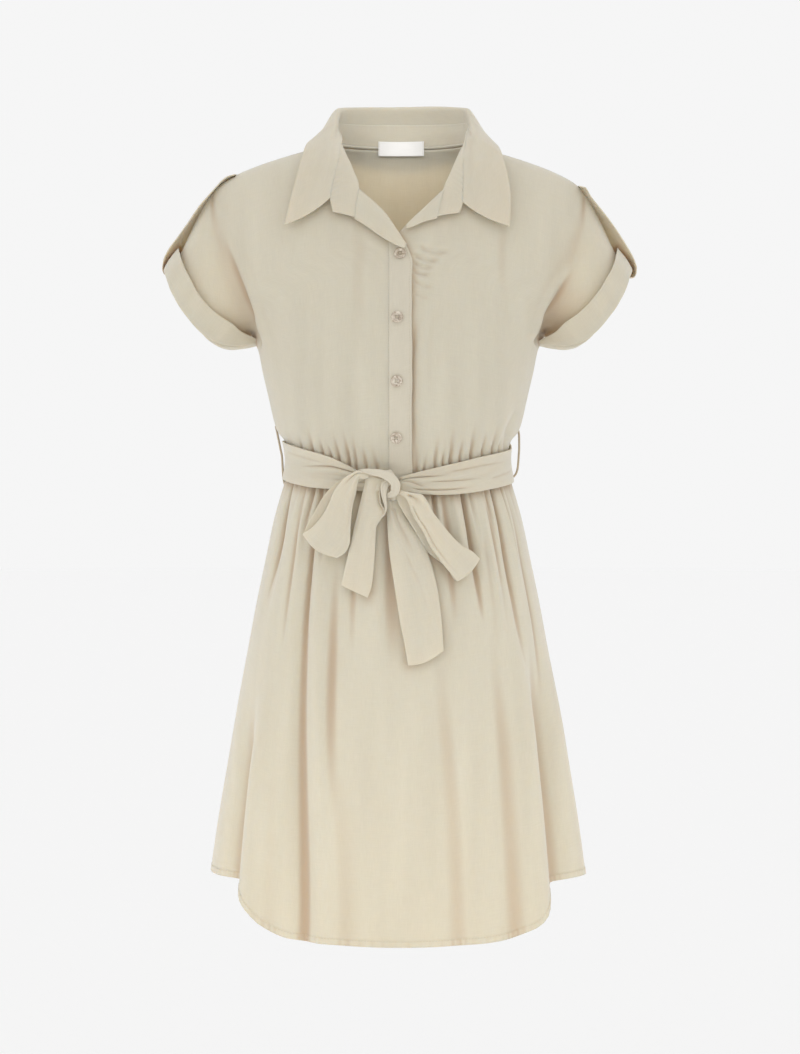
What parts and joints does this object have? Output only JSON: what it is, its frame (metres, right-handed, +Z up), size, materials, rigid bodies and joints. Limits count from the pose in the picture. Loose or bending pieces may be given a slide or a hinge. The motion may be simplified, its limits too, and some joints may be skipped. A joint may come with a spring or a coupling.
{
  "type": "shirt dress",
  "caption": "Knee-length shirt dress with a turned collar, cuffed cap sleeves, a buttoned front, a gathered skirt with a curved hem and a tied cloth belt.",
  "frame": {"origin": "middle of the neck at the height of the shoulder points, where the wearer's shoulders carry the dress", "axes": "+Z up, -Y towards the front that buttons, +X towards the wearer's left side"},
  "size_m": [0.5166, 0.3087, 0.8966],
  "materials": {
    "cloth": "soft slubbed linen-like weave with a faint sheen",
    "button": "pearly, polished",
    "label": "smooth white satin ribbon, blank"
  },
  "bodies": {
    "root": {"bodice_front_right": "cloth", "bodice_front_left": "cloth", "bodice_back": "cloth", "skirt_front": "cloth", "skirt_back": "cloth", "front_band_right": "cloth", "rever_right": "cloth", "rever_left": "cloth", "collar_stand": "cloth", "collar_leaf": "cloth", "cuff_right": "cloth", "cuff_left": "cloth", "sleeve_tab_right": "cloth", "sleeve_tab_left": "cloth", "belt_round": "cloth", "bow_loop_right": "cloth", "bow_loop_left": "cloth", "bow_tail_right": "cloth", "bow_tail_left": "cloth", "bow_knot": "cloth", "belt_loop_right": "cloth", "belt_loop_left": "cloth", "button_1": "button", "button_2": "button", "button_3": "button", "button_4": "button", "neck_label": "label"}
  },
  "joints": []
}
